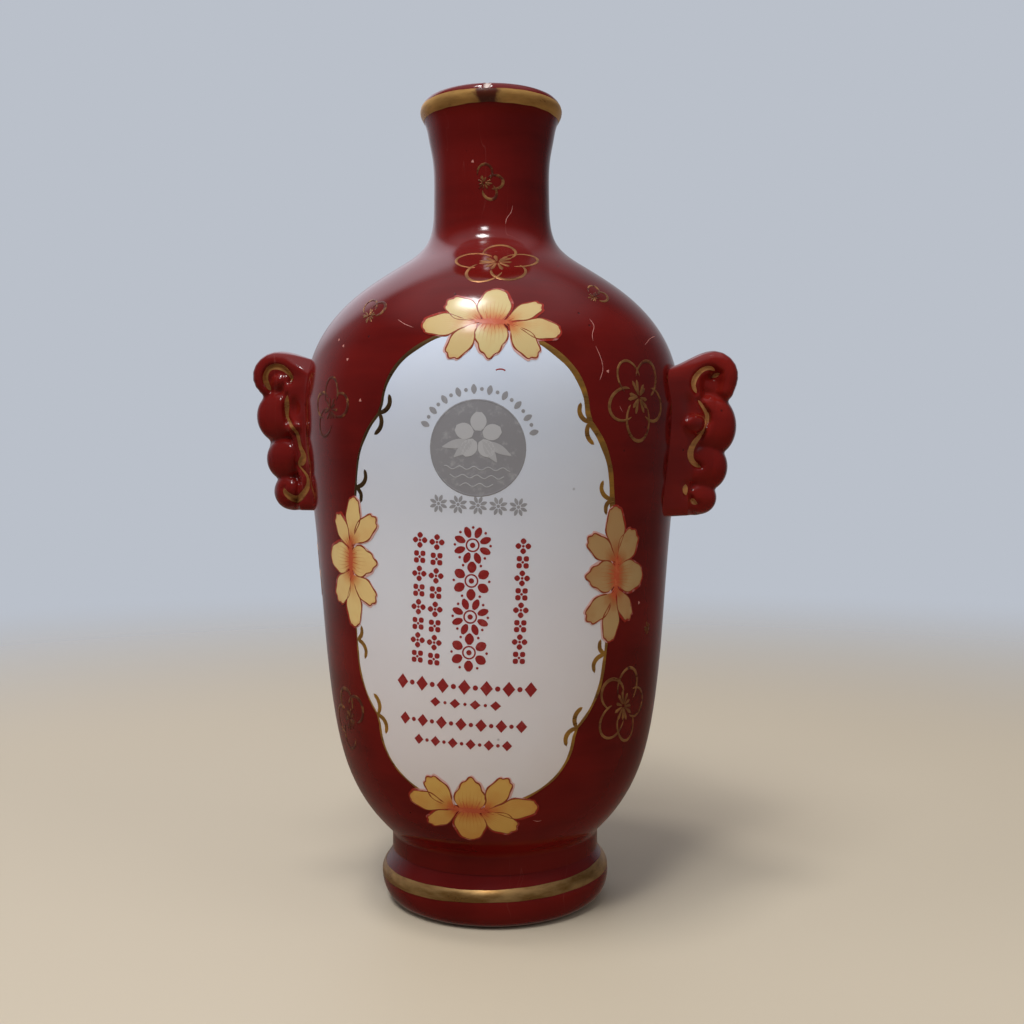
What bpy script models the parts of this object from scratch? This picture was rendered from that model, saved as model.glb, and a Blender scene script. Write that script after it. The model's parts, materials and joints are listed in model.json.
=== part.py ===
"""A porcelain spirit bottle in vase form, in metres with +Z up.

The shell is slip-cast in one piece, from its base to its rolled lip. A turned
foot ring and two cloud-shaped lugs are luted on, each with a thin slip joint.
The origin is the centre of the foot's resting plane. The lugs lie along X and
the front looks along -Y.
"""

import math

import bpy
import numpy as np

# Driving dimensions
HEIGHT = 0.156
WALL = 0.004
LUTE_GAP = 0.0003
BORE_RADIUS = 0.0073
LIP_RADIUS = 0.01375
NECK_RADIUS = 0.0113
SHOULDER_RADIUS = 0.03645
FOOT_HEIGHT = 0.0127
FOOT_RADIUS = 0.0224
FOOT_WAIST = 0.0199
FOOT_BORE = 0.0156
FLOOR_TOP = 0.0185
LUG_THICKNESS = 0.0110

# Fineness of the solids
SIDES = 64
LUG_VOXEL = 0.0008
LUG_DETAIL = 0.30

# (radius, height) stations down the outside of the shell, lip to base
SHELL_STATIONS = [
    (0.0131, 0.1520),
    (0.01155, 0.1450),
    (NECK_RADIUS, 0.1365),
    (0.0127, 0.1282),
    (0.0187, 0.1230),
    (0.0276, 0.1166),
    (0.0339, 0.1086),
    (SHOULDER_RADIUS, 0.0995),
    (0.0364, 0.0900),
    (0.0349, 0.0750),
    (0.0333, 0.0550),
    (0.0314, 0.0370),
    (0.0283, 0.0250),
    (0.0238, 0.0174),
    (FOOT_WAIST, FOOT_HEIGHT + 0.0005),
]

# (radius, height) stations down the outside of the foot, joint to table
FOOT_STATIONS = [
    (FOOT_WAIST - 0.0001, FOOT_HEIGHT),
    (0.0200, 0.0102),
    (0.0213, 0.0079),
    (0.02215, 0.0064),
    (FOOT_RADIUS, 0.0049),
    (0.0218, 0.0022),
    (0.0204, 0.0006),
    (0.0191, 0.0),
]

# Cloud lobes of a lug: (reach, height, half width, half height), all from the axis and the table
LUG_LOBES = [
    (0.0429, 0.1024, 0.0050, 0.0050),
    (0.0429, 0.0936, 0.0045, 0.0051),
    (0.0416, 0.0853, 0.0039, 0.0045),
    (0.0407, 0.0789, 0.0030, 0.0033),
]
LUG_BEAD = (0.0387, 0.0942, 0.0021)
LUG_WEB = (0.0356, 0.0906, 0.0066, 0.0151)


def clear_scene():
    """Remove whatever the new scene holds."""
    for obj in list(bpy.data.objects):
        bpy.data.objects.remove(obj, do_unlink=True)


def make_material(name, colour, roughness, metallic=0.0):
    """A Principled material."""
    material = bpy.data.materials.new(name)
    material.use_nodes = True
    shader = material.node_tree.nodes["Principled BSDF"]
    shader.inputs["Base Color"].default_value = (*colour, 1.0)
    shader.inputs["Roughness"].default_value = roughness
    shader.inputs["Metallic"].default_value = metallic
    shader.inputs["Coat Weight"].default_value = 0.6
    material.diffuse_color = (*colour, 1.0)
    return material


def spline(stations, steps):
    """Points on the natural cubic through the stations, with steps points to a span."""
    points = np.array(stations)
    spans = np.linalg.norm(np.diff(points, axis=0), axis=1)
    count = len(points)
    matrix = np.eye(count)
    right = np.zeros((count, 2))
    for i in range(1, count - 1):
        before, after = spans[i - 1], spans[i]
        matrix[i, i - 1 : i + 2] = before, 2 * (before + after), after
        change = (points[i + 1] - points[i]) / after
        change -= (points[i] - points[i - 1]) / before
        right[i] = 6 * change
    bend = np.linalg.solve(matrix, right)
    curve = []
    for i, span in enumerate(spans):
        for step in range(steps):
            b = step / steps
            a = 1 - b
            point = a * points[i] + b * points[i + 1]
            point += ((a**3 - a) * bend[i] + (b**3 - b) * bend[i + 1]) * span**2 / 6
            curve.append(tuple(point))
    curve.append(tuple(points[-1]))
    return curve


def offset(curve, distance):
    """The curve moved sideways: positive is away from the axis for a curve that runs downwards."""
    points = np.array(curve)
    along = np.gradient(points, axis=0)
    along /= np.linalg.norm(along, axis=1)[:, None]
    sideways = np.column_stack([-along[:, 1], along[:, 0]])
    return [tuple(point) for point in points + distance * sideways]


def arc(centre, radius, start, end, steps):
    """Points on an arc in the (radius, height) plane, angles in degrees from outwards."""
    turns = [math.radians(start + (end - start) * i / steps) for i in range(steps + 1)]
    return [(centre[0] + radius * math.cos(a), centre[1] + radius * math.sin(a)) for a in turns]


def turned(name, profile, material, closed=False):
    """A solid of revolution from a (radius, height) profile that runs down its outer side."""
    mesh = bpy.data.meshes.new(name)
    edges = [(i, i + 1) for i in range(len(profile) - 1)]
    if closed:
        edges.append((len(profile) - 1, 0))
    mesh.from_pydata([(r, 0.0, z) for r, z in profile], edges, [])
    mesh.materials.append(material)
    obj = bpy.data.objects.new(name, mesh)
    bpy.context.collection.objects.link(obj)
    screw = obj.modifiers.new("Turn", "SCREW")
    screw.steps = SIDES
    screw.render_steps = SIDES
    screw.use_merge_vertices = True
    screw.merge_threshold = 0.00001
    screw.use_smooth_shade = True
    return obj


def make_body(material):
    """The hollow shell: recessed base, belly, shoulder, neck and rolled lip."""
    outer = spline(SHELL_STATIONS, 2)
    inner = [p for p in offset(outer, -WALL)[::2] if 0.026 < p[1] < 0.119]
    floor = spline([(0.0, FLOOR_TOP), (0.0120, FLOOR_TOP), (0.0190, 0.0205), inner[-1]], 3)
    roll = LIP_RADIUS - 0.0115
    crown = arc((LIP_RADIUS - roll, HEIGHT - roll), roll, 90, 0, 5)
    throat = [
        (BORE_RADIUS, 0.1290),
        (BORE_RADIUS, HEIGHT - 0.0020),
        (BORE_RADIUS + 0.0006, HEIGHT - 0.0006),
        (BORE_RADIUS + 0.0018, HEIGHT),
    ]
    base = [
        (0.0142, FOOT_HEIGHT + LUTE_GAP),
        (0.0130, FOOT_HEIGHT + 0.0018),
        (0.0, FOOT_HEIGHT + 0.0024),
    ]
    seat = [(FOOT_WAIST - 0.0003, FOOT_HEIGHT + LUTE_GAP)]
    inside = floor[:-1] + inner[::-1] + [(0.0091, 0.1243)] + throat
    return turned("body", inside + crown + outer + seat + base, material)


def make_foot(material):
    """The turned ring that the shell stands on."""
    outer = spline(FOOT_STATIONS, 2)
    inner = [
        (0.0172, 0.0),
        (0.0163, 0.0008),
        (FOOT_BORE, FOOT_HEIGHT - 0.0008),
        (FOOT_BORE + 0.0005, FOOT_HEIGHT),
    ]
    return turned("foot_ring", outer + inner, material, closed=True)


def make_lug_cutter(material):
    """The shell's outside grown by the lute gap, which seats each lug."""
    outer = spline(SHELL_STATIONS, 2)
    grown = [p for p in offset(outer, LUTE_GAP) if 0.060 < p[1] < 0.120]
    top = (0.0, grown[0][1])
    bottom = (0.0, grown[-1][1])
    cutter = turned("lug_seat_cutter", [top] + grown + [bottom], material)
    cutter.hide_render = True
    cutter.display_type = "WIRE"
    return cutter


def ball(centre, radii, rings=12, sides=20):
    """Vertices and faces of an ellipsoid."""
    points = [(centre[0], centre[1], centre[2] + radii[2])]
    for ring in range(1, rings):
        down = math.pi * ring / rings
        for side in range(sides):
            turn = 2 * math.pi * side / sides
            x = centre[0] + radii[0] * math.sin(down) * math.cos(turn)
            y = centre[1] + radii[1] * math.sin(down) * math.sin(turn)
            points.append((x, y, centre[2] + radii[2] * math.cos(down)))
    points.append((centre[0], centre[1], centre[2] - radii[2]))
    last = len(points) - 1
    faces = []
    for side in range(sides):
        after = (side + 1) % sides
        faces.append((0, 1 + side, 1 + after))
        low = 1 + (rings - 2) * sides
        faces.append((last, low + after, low + side))
        for ring in range(rings - 2):
            upper = 1 + ring * sides
            lower = upper + sides
            faces.append((upper + side, lower + side, lower + after, upper + after))
    return points, faces


def join_shapes(name, shapes):
    """One mesh that holds several overlapping closed shapes."""
    points = []
    faces = []
    for shape_points, shape_faces in shapes:
        first = len(points)
        points += shape_points
        faces += [tuple(first + corner for corner in face) for face in shape_faces]
    mesh = bpy.data.meshes.new(name)
    mesh.from_pydata(points, [], faces)
    return mesh


def make_lug(name, side, cutter, material):
    """A press-moulded lug of four cloud lobes and a bead on a web, on one side of the shell."""
    thick = LUG_THICKNESS / 2
    shapes = [
        ball((side * reach, 0.0, height), (half_width, thick, half_height))
        for reach, height, half_width, half_height in LUG_LOBES
    ]
    reach, height, half_width, half_height = LUG_WEB
    for step in range(5):
        level = height + half_height * 0.6 * (step / 2 - 1)
        shapes.append(ball((side * reach, 0.0, level), (half_width, thick, half_height * 0.42)))
    reach, height, radius = LUG_BEAD
    for face in (-1, 1):
        place = (side * reach, face * (thick - 0.4 * radius), height)
        shapes.append(ball(place, (radius, radius, radius)))
    obj = bpy.data.objects.new(name, join_shapes(name, shapes))
    obj.data.materials.append(material)
    bpy.context.collection.objects.link(obj)
    remesh = obj.modifiers.new("Fuse", "REMESH")
    remesh.mode = "VOXEL"
    remesh.voxel_size = LUG_VOXEL
    remesh.use_smooth_shade = True
    soften = obj.modifiers.new("Soften", "SMOOTH")
    soften.factor = 0.5
    soften.iterations = 2
    thin = obj.modifiers.new("Thin", "DECIMATE")
    thin.ratio = LUG_DETAIL
    seat = obj.modifiers.new("Seat", "BOOLEAN")
    seat.operation = "DIFFERENCE"
    seat.solver = "EXACT"
    seat.object = cutter
    return obj


def main():
    clear_scene()
    red_enamel = make_material("red_enamel", (0.30, 0.012, 0.010), 0.14)
    foot_enamel = make_material("foot_enamel", (0.26, 0.012, 0.012), 0.16)
    lug_enamel = make_material("lug_enamel", (0.28, 0.014, 0.012), 0.18)
    make_body(red_enamel)
    make_foot(foot_enamel)
    cutter = make_lug_cutter(red_enamel)
    make_lug("right_lug", 1, cutter, lug_enamel)
    make_lug("left_lug", -1, cutter, lug_enamel)


main()
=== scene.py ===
"""Looks of a red enamelled porcelain spirit bottle with two scrolled lugs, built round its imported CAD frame."""

import json
import math

import bmesh
import bpy
import numpy as np
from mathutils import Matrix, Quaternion, Vector

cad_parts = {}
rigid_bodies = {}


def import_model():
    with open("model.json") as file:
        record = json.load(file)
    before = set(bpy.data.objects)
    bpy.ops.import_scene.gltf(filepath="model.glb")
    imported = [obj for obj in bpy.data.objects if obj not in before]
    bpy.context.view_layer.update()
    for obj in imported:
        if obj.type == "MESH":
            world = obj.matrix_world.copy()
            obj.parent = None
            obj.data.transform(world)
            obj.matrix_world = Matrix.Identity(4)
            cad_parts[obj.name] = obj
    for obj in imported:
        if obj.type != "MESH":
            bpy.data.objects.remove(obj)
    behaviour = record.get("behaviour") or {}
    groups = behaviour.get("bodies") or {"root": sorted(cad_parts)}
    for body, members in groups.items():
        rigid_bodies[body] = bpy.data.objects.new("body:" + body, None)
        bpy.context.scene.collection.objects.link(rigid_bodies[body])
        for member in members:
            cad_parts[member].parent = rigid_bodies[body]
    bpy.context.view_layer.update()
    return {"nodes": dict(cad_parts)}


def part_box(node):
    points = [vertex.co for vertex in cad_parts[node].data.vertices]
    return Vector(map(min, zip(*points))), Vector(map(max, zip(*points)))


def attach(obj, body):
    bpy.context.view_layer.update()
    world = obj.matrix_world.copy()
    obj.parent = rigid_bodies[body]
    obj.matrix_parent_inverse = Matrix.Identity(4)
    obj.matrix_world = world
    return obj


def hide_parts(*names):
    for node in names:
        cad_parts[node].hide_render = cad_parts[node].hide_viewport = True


MM = 0.001
TURN = 2 * math.pi

# Camera: photographed from just right of the front, level with the belly.
CAMERA_AT = (0.02016, -0.23203, 0.08424)
CAMERA_SWING = math.radians(4.06)
CAMERA_DIP = math.radians(2.08)
CAMERA_ROLL = math.radians(-0.29)
LENS = 41.34

# Studio: where the lights aim, and the display colours of the wall behind and the room in front.
BELLY = (0, 0, 0.09)
PALE_WALL = (186, 192, 202)
DIM_ROOM = (70, 68, 70)
DIM_TABLE = (70, 60, 52)
LIT_WALL = (170, 170, 176)
LIT_TABLE = (112, 96, 84)
WINDOW = (236, 238, 250)
WINDOW_AT = (-0.34, 0.76, 0.55)
BRIGHT_SIDE = (-0.3, 0.9, 0)
CEILING_GLOW = 1.3
FLOOR_RADIUS = 0.6

# Resolution of the turned pieces and of the thin layers laid on them.
SEGMENTS = 256
WALL_STEP = 0.7 * MM
SINK = 0.05 * MM

# The printed panel: its centre on the belly, its tilt, and one quarter of its outline (across, up).
PANEL_CENTRE = (0.2 * MM, 66.4 * MM)
PANEL_TILT = math.radians(2.8)
PANEL_TOP = [(0, 41.6), (5.0, 41.0), (9.2, 39.6), (12.3, 37.8), (14.7, 35.9), (16.6, 33.5), (17.8, 30.9), (18.3, 28.3)]
PANEL_SIDE = [(18.9, 26.6), (20.6, 24.7), (22.3, 22.0), (23.5, 19.0), (24.0, 16.2), (24.3, 13.6), (24.9, 6.0), (25.1, 0)]
PANEL_GRID = 96

# Heights of each layer above the enamel.
PANEL_LIFT = 0.03 * MM
PRINT_LIFT = 0.05 * MM
GOLD_LIFT = 0.07 * MM
HALO_LIFT = 0.085 * MM
PETAL_LIFT = 0.11 * MM
LINE_LIFT = 0.14 * MM


# ---------------------------------------------------------------- curves


def spline(points, step):
    """Points about one step apart along the natural cubic through the given ones."""
    points = np.asarray(points, float)
    run = np.concatenate([[0], np.cumsum(np.linalg.norm(np.diff(points, axis=0), axis=1))])
    gaps = np.diff(run)
    count = len(points)
    system = np.eye(count)
    right = np.zeros_like(points)
    for i in range(1, count - 1):
        before, after = gaps[i - 1], gaps[i]
        system[i, i - 1 : i + 2] = before, 2 * (before + after), after
        right[i] = 6 * ((points[i + 1] - points[i]) / after - (points[i] - points[i - 1]) / before)
    bend = np.linalg.solve(system, right)
    at = np.linspace(0, run[-1], max(2, math.ceil(run[-1] / step) + 1))
    i = np.clip(np.searchsorted(run, at, side="right") - 1, 0, count - 2)
    a = ((run[i + 1] - at) / gaps[i])[:, None]
    b = 1 - a
    gap = gaps[i][:, None]
    return a * points[i] + b * points[i + 1] + ((a**3 - a) * bend[i] + (b**3 - b) * bend[i + 1]) * gap**2 / 6


def section_of(node):
    """Outline of a turned CAD node on its +X side, in order, as radius and height."""
    mesh = frame["nodes"][node].data
    points = np.array([v.co[:] for v in mesh.vertices])
    flat = (abs(points[:, 1]) < 1e-6) & (points[:, 0] > -1e-6)
    keys = [tuple(k) for k in np.round(points[:, [0, 2]] / 1e-6).astype(int)]
    links = {}
    for edge in mesh.edges:
        a, b = edge.vertices
        if flat[a] and flat[b] and keys[a] != keys[b]:
            links.setdefault(keys[a], set()).add(keys[b])
            links.setdefault(keys[b], set()).add(keys[a])
    ends = [k for k in links if len(links[k]) == 1]
    walk = [min(ends or links)]
    while True:
        onward = sorted(links[walk[-1]] - set(walk[-2:]))
        if not onward or onward[0] == walk[0]:
            break
        walk.append(onward[0])
    return np.array(walk) * 1e-6


class Wall:
    """Outer face of a turned piece, addressed by the distance round it (u) and up its meridian (v)."""

    def __init__(self, profile):
        self.profile = profile
        self.run = np.concatenate([[0], np.cumsum(np.linalg.norm(np.diff(profile, axis=0), axis=1))])
        slope = np.gradient(profile, self.run, axis=0)
        self.normal = np.stack([slope[:, 1], -slope[:, 0]], axis=1)
        self.normal /= np.linalg.norm(self.normal, axis=1)[:, None]

    def up(self, height):
        """Distance up the meridian of a height."""
        return np.interp(height, self.profile[:, 1], self.run)

    def radius(self, height):
        return np.interp(height, self.profile[:, 1], self.profile[:, 0])

    def at(self, u, v, lift):
        radius = np.interp(v, self.run, self.profile[:, 0])
        height = np.interp(v, self.run, self.profile[:, 1])
        out = np.interp(v, self.run, self.normal[:, 0])
        rise = np.interp(v, self.run, self.normal[:, 1])
        angle = u / radius
        reach = radius + out * lift
        return np.stack([reach * np.sin(angle), -reach * np.cos(angle), height + rise * lift], axis=-1)


# ---------------------------------------------------------------- meshes


def mesh_object(name, points, faces, marks=None, corner=40):
    """A smooth-shaded object. marks holds named values for each point, which materials read."""
    mesh = bpy.data.meshes.new(name)
    mesh.from_pydata(np.asarray(points).tolist(), [], [list(f) for f in faces])
    for key, values in (marks or {}).items():
        values = np.asarray(values, np.float32)
        kind, field = ("FLOAT", "value") if values.ndim == 1 else ("FLOAT_VECTOR", "vector")
        mesh.attributes.new(key, kind, "POINT").data.foreach_set(field, values.ravel())
    mesh.polygons.foreach_set("use_smooth", [True] * len(mesh.polygons))
    mesh.set_sharp_from_angle(angle=math.radians(corner))
    mesh.update()
    made = bpy.data.objects.new(name, mesh)
    bpy.context.scene.collection.objects.link(made)
    return made


def turned(name, section, corner=40):
    """A section swept once round the Z axis. Section ends on the axis close to a single point."""
    count = len(section)
    closed = section[0][0] > 1e-6
    angle = np.arange(SEGMENTS) / SEGMENTS * TURN
    radius, height = section[:, 0][:, None], section[:, 1][:, None]
    points = np.stack(
        [radius * np.cos(angle), radius * np.sin(angle), height + 0 * angle], axis=-1
    ).reshape(-1, 3)
    faces = []
    for i in range(count if closed else count - 1):
        j = (i + 1) % count
        for k in range(SEGMENTS):
            m = (k + 1) % SEGMENTS
            faces.append((i * SEGMENTS + k, i * SEGMENTS + m, j * SEGMENTS + m, j * SEGMENTS + k))
    made = mesh_object(name, points, faces, corner=corner)
    work = bmesh.new()
    work.from_mesh(made.data)
    bmesh.ops.remove_doubles(work, verts=work.verts, dist=1e-7)
    bmesh.ops.recalc_face_normals(work, faces=work.faces)
    work.to_mesh(made.data)
    work.free()
    made.data.set_sharp_from_angle(angle=math.radians(corner))
    return made


class Film:
    """Thin closed layers on a wall, gathered into one mesh. Each is a grid of places with a height for its face."""

    def __init__(self, place):
        self.place = place
        self.points = []
        self.faces = []
        self.marks = []
        self.count = 0

    def add(self, u, v, lift, mark=(0, 0, 0), ring=False, sink=SINK):
        """ring joins the grid's last row to its first."""
        rows, columns = u.shape
        lift = np.broadcast_to(lift, u.shape)
        mark = np.broadcast_to(mark, (*u.shape, 3))
        across = (np.roll(u, -1, 0) - u)[:-1, :-1] * (np.roll(v, -1, 1) - v)[:-1, :-1]
        along = (np.roll(u, -1, 1) - u)[:-1, :-1] * (np.roll(v, -1, 0) - v)[:-1, :-1]
        flip = (across - along).sum() < 0
        top = np.arange(rows * columns).reshape(rows, columns) + self.count
        base = top + rows * columns
        wrapped = np.concatenate([top, top[:1]]) if ring else top
        under = np.concatenate([base, base[:1]]) if ring else base
        quads = [self.quads(wrapped), self.quads(under)[:, ::-1]]
        for side in (0, -1):
            edge = np.stack([wrapped[:, side], under[:, side]], axis=1)
            quads.append(self.quads(edge)[:, :: (1 if side else -1)])
            if ring:
                continue
            edge = np.stack([top[side], base[side]], axis=1)
            quads.append(self.quads(edge)[:, :: (-1 if side else 1)])
        quads = np.concatenate(quads)
        self.faces.append(quads[:, ::-1] if flip else quads)
        self.points += [self.place(u, v, lift).reshape(-1, 3), self.place(u, v, np.full(u.shape, -sink)).reshape(-1, 3)]
        self.marks += [mark.reshape(-1, 3)] * 2
        self.count += 2 * rows * columns

    @staticmethod
    def quads(grid):
        return np.stack([grid[:-1, :-1], grid[1:, :-1], grid[1:, 1:], grid[:-1, 1:]], axis=-1).reshape(-1, 4)

    def ribbon(self, path, width, lift, mark=(0, 0, 0), ring=False, sink=SINK, taper=0.0):
        """A domed line along (u, v) points. width is one value or one for each point; taper narrows its ends."""
        path = np.asarray(path, float)
        ahead = np.roll(path, -1, 0) - np.roll(path, 1, 0)
        if not ring:
            ahead[0], ahead[-1] = path[1] - path[0], path[-1] - path[-2]
        ahead /= np.linalg.norm(ahead, axis=1)[:, None] + 1e-12
        side = np.stack([-ahead[:, 1], ahead[:, 0]], axis=1)
        half = np.broadcast_to(width, len(path)) / 2
        if taper and not ring:
            run = np.concatenate([[0], np.cumsum(np.linalg.norm(np.diff(path, axis=0), axis=1))])
            ends = np.minimum(run, run[-1] - run) / taper
            half = half * np.sqrt(np.clip(ends, 0.03, 1))
        across = np.array([-1, -0.6, 0, 0.6, 1])
        u = path[:, 0][:, None] + side[:, 0][:, None] * half[:, None] * across
        v = path[:, 1][:, None] + side[:, 1][:, None] * half[:, None] * across
        self.add(u, v, lift * np.array([0.45, 0.85, 1, 0.85, 0.45]), mark, ring, sink)

    def build(self, name):
        return mesh_object(
            name, np.concatenate(self.points), np.concatenate(self.faces), {"mark": np.concatenate(self.marks)}
        )


def disc_grid(count):
    """Angle and reach (0 to 1) of a square grid drawn into a disc, with no point doubled at its centre."""
    x, y = np.meshgrid(np.linspace(-1, 1, count + 1), np.linspace(-1, 1, count + 1), indexing="ij")
    across = x * np.sqrt(1 - y * y / 2)
    along = y * np.sqrt(1 - x * x / 2)
    return np.arctan2(along, across), np.hypot(across, along)


# ---------------------------------------------------------------- materials


def colour(red, green, blue):
    """Linear colour of display values from 0 to 255."""
    share = np.array([red, green, blue]) / 255
    linear = np.where(share <= 0.04045, share / 12.92, ((share + 0.055) / 1.055) ** 2.4)
    return (*linear.tolist(), 1.0)


class Paint:
    """A Principled material, with short calls that add the nodes feeding it."""

    def __init__(self, name, roughness=0.2, metallic=0.0, coat=0.0, coat_roughness=0.05, ior=1.5):
        self.material = bpy.data.materials.new(name)
        self.material.use_nodes = True
        self.tree = self.material.node_tree
        self.shader = self.tree.nodes["Principled BSDF"]
        self.put(self.shader, "Roughness", roughness)
        self.put(self.shader, "Metallic", metallic)
        self.put(self.shader, "Coat Weight", coat)
        self.put(self.shader, "Coat Roughness", coat_roughness)
        self.put(self.shader, "IOR", ior)

    def put(self, node, socket, value):
        if isinstance(value, bpy.types.NodeSocket):
            self.tree.links.new(value, node.inputs[socket])
        else:
            node.inputs[socket].default_value = value

    def feed(self, **sockets):
        for name, value in sockets.items():
            self.put(self.shader, name.replace("_", " "), value)

    def place(self, scale=(1, 1, 1)):
        """Object coordinates, stretched by scale."""
        node = self.tree.nodes.new("ShaderNodeTexCoord")
        if scale == (1, 1, 1):
            return node.outputs["Object"]
        mapping = self.tree.nodes.new("ShaderNodeMapping")
        mapping.inputs["Scale"].default_value = scale
        self.put(mapping, "Vector", node.outputs["Object"])
        return mapping.outputs["Vector"]

    def mark(self, name="mark", axis=None):
        node = self.tree.nodes.new("ShaderNodeAttribute")
        node.attribute_name = name
        if axis is None:
            return node.outputs["Fac"]
        split = self.tree.nodes.new("ShaderNodeSeparateXYZ")
        self.put(split, "Vector", node.outputs["Vector"])
        return split.outputs[axis]

    def noise(self, scale, detail=3.0, rough=0.5, stretch=(1, 1, 1), twist=0.0):
        node = self.tree.nodes.new("ShaderNodeTexNoise")
        self.put(node, "Vector", self.place(stretch))
        self.put(node, "Scale", scale)
        self.put(node, "Detail", detail)
        self.put(node, "Roughness", rough)
        self.put(node, "Distortion", twist)
        return node.outputs["Fac"]

    def cells(self, scale, stretch=(1, 1, 1), spread=1.0):
        """Distance to the nearest of many scattered points, and a colour that differs for each."""
        node = self.tree.nodes.new("ShaderNodeTexVoronoi")
        self.put(node, "Vector", self.place(stretch))
        self.put(node, "Scale", scale)
        self.put(node, "Randomness", spread)
        return node.outputs["Distance"], node.outputs["Color"]

    def sum(self, kind, first, second=0.0, third=0.0, clamp=False):
        node = self.tree.nodes.new("ShaderNodeMath")
        node.operation = kind
        node.use_clamp = clamp
        for index, value in enumerate((first, second, third)):
            self.put(node, index, value)
        return node.outputs["Value"]

    def range(self, value, low, high, to_low=0.0, to_high=1.0):
        """value, from low..high to to_low..to_high with a smooth step."""
        node = self.tree.nodes.new("ShaderNodeMapRange")
        node.interpolation_type = "SMOOTHSTEP"
        for index, item in enumerate((value, low, high, to_low, to_high)):
            self.put(node, index, item)
        return node.outputs["Result"]

    def mix(self, share, first, second):
        node = self.tree.nodes.new("ShaderNodeMix")
        node.data_type = "RGBA"
        self.put(node, "Factor", share)
        self.tree.nodes.active = node
        for index, value in ((6, first), (7, second)):
            self.put(node, index, value)
        return node.outputs[2]

    def specks(self, scale, size, share, stretch=(1, 1, 1)):
        """A mask of small spots: size is their reach in cells, share how many cells have one."""
        distance, tint = self.cells(scale, stretch)
        split = self.tree.nodes.new("ShaderNodeSeparateColor")
        self.put(split, "Color", tint)
        kept = self.sum("LESS_THAN", split.outputs["Red"], share)
        spot = self.range(distance, size * 0.5, size, 1.0, 0.0)
        return self.sum("MULTIPLY", kept, spot)

    def bump(self, height, distance, strength=1.0, over=None):
        node = self.tree.nodes.new("ShaderNodeBump")
        self.put(node, "Height", height)
        self.put(node, "Distance", distance)
        self.put(node, "Strength", strength)
        if over is not None:
            self.put(node, "Normal", over)
        return node.outputs["Normal"]


def enamel(name, lit=(106, 18, 14), deep=(82, 11, 9), gloss=(0.09, 0.14), lumps=0.5):
    """Iron-red enamel over porcelain: brushed depth, pinholes, scuffs, and bare clay where mark says so."""
    paint = Paint(name, coat=0.0, ior=1.52)
    cloud = paint.noise(38, detail=3)
    brush = paint.noise(60, detail=4, rough=0.6, stretch=(0.35, 0.35, 2.6))
    depth = paint.sum("ADD", paint.sum("MULTIPLY", cloud, 0.6), paint.sum("MULTIPLY", brush, 0.4))
    base = paint.mix(paint.range(depth, 0.35, 0.65), colour(*deep), colour(*lit))
    pinholes = paint.specks(520, 0.16, 0.05)
    scuffs = paint.specks(130, 0.10, 0.05, stretch=(1, 1, 0.25))
    hairs = paint.range(paint.noise(95, detail=2, stretch=(1, 1, 0.06), twist=1.5), 0.495, 0.505)
    hairs = paint.sum("MULTIPLY", paint.sum("MULTIPLY", hairs, paint.sum("SUBTRACT", 1.0, hairs)), 2.0)
    grazed = paint.sum("MULTIPLY", hairs, paint.range(cloud, 0.55, 0.7))
    base = paint.mix(paint.sum("MULTIPLY", grazed, 0.35), base, colour(178, 110, 100))
    base = paint.mix(paint.sum("MULTIPLY", pinholes, 0.8), base, colour(52, 8, 8))
    base = paint.mix(paint.sum("MULTIPLY", scuffs, 0.55), base, colour(196, 140, 128))
    clay = paint.mix(paint.noise(700, detail=4), colour(196, 176, 168), colour(222, 206, 198))
    bare = paint.mark("bare")
    rough = paint.range(cloud, 0.3, 0.7, *gloss)
    rough = paint.sum("ADD", rough, paint.sum("MULTIPLY", bare, 0.5))
    peel = paint.sum("ADD", paint.noise(210, detail=1), paint.sum("MULTIPLY", pinholes, -1.2))
    ripple = paint.bump(paint.noise(45 + 200 * (lumps > 0.5), detail=1), 0.00035, lumps)
    paint.feed(
        Base_Color=paint.mix(bare, base, clay),
        Roughness=rough,
        Normal=paint.bump(peel, 0.00004, 0.5, over=ripple),
    )
    return paint.material


def white_glaze():
    """The panel's cold white glaze: faint grey clouds, kiln specks and fine scratches, with painted light: a warm tint
    at the bottom and a cool tint at the top.
    """
    paint = Paint("panel_glaze", roughness=0.14)
    cloud = paint.noise(30, detail=4)
    split = paint.tree.nodes.new("ShaderNodeSeparateXYZ")
    paint.put(split, "Vector", paint.place())
    # Painted light: the glaze is tinted warm at the bottom and cool at the top, for warm light bounced from below and
    # cool light from above.
    tone = paint.mix(paint.range(split.outputs["Z"], 0.035, 0.105), colour(216, 208, 208), colour(206, 215, 232))
    base = paint.mix(paint.range(cloud, 0.35, 0.7, 0.0, 0.35), tone, colour(222, 225, 233))
    specks = paint.specks(300, 0.15, 0.035)
    smears = paint.specks(70, 0.20, 0.10, stretch=(1, 1, 0.35))
    base = paint.mix(paint.sum("MULTIPLY", smears, 0.30), base, colour(150, 146, 150))
    base = paint.mix(paint.sum("MULTIPLY", specks, 0.75), base, colour(80, 74, 76))
    peel = paint.bump(paint.noise(180, detail=1), 0.00004, 0.4)
    paint.feed(
        Base_Color=base,
        Roughness=paint.range(cloud, 0.3, 0.7, 0.10, 0.20),
        Normal=paint.bump(paint.noise(40, detail=1), 0.0003, 0.4, over=peel),
    )
    return paint.material


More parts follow.
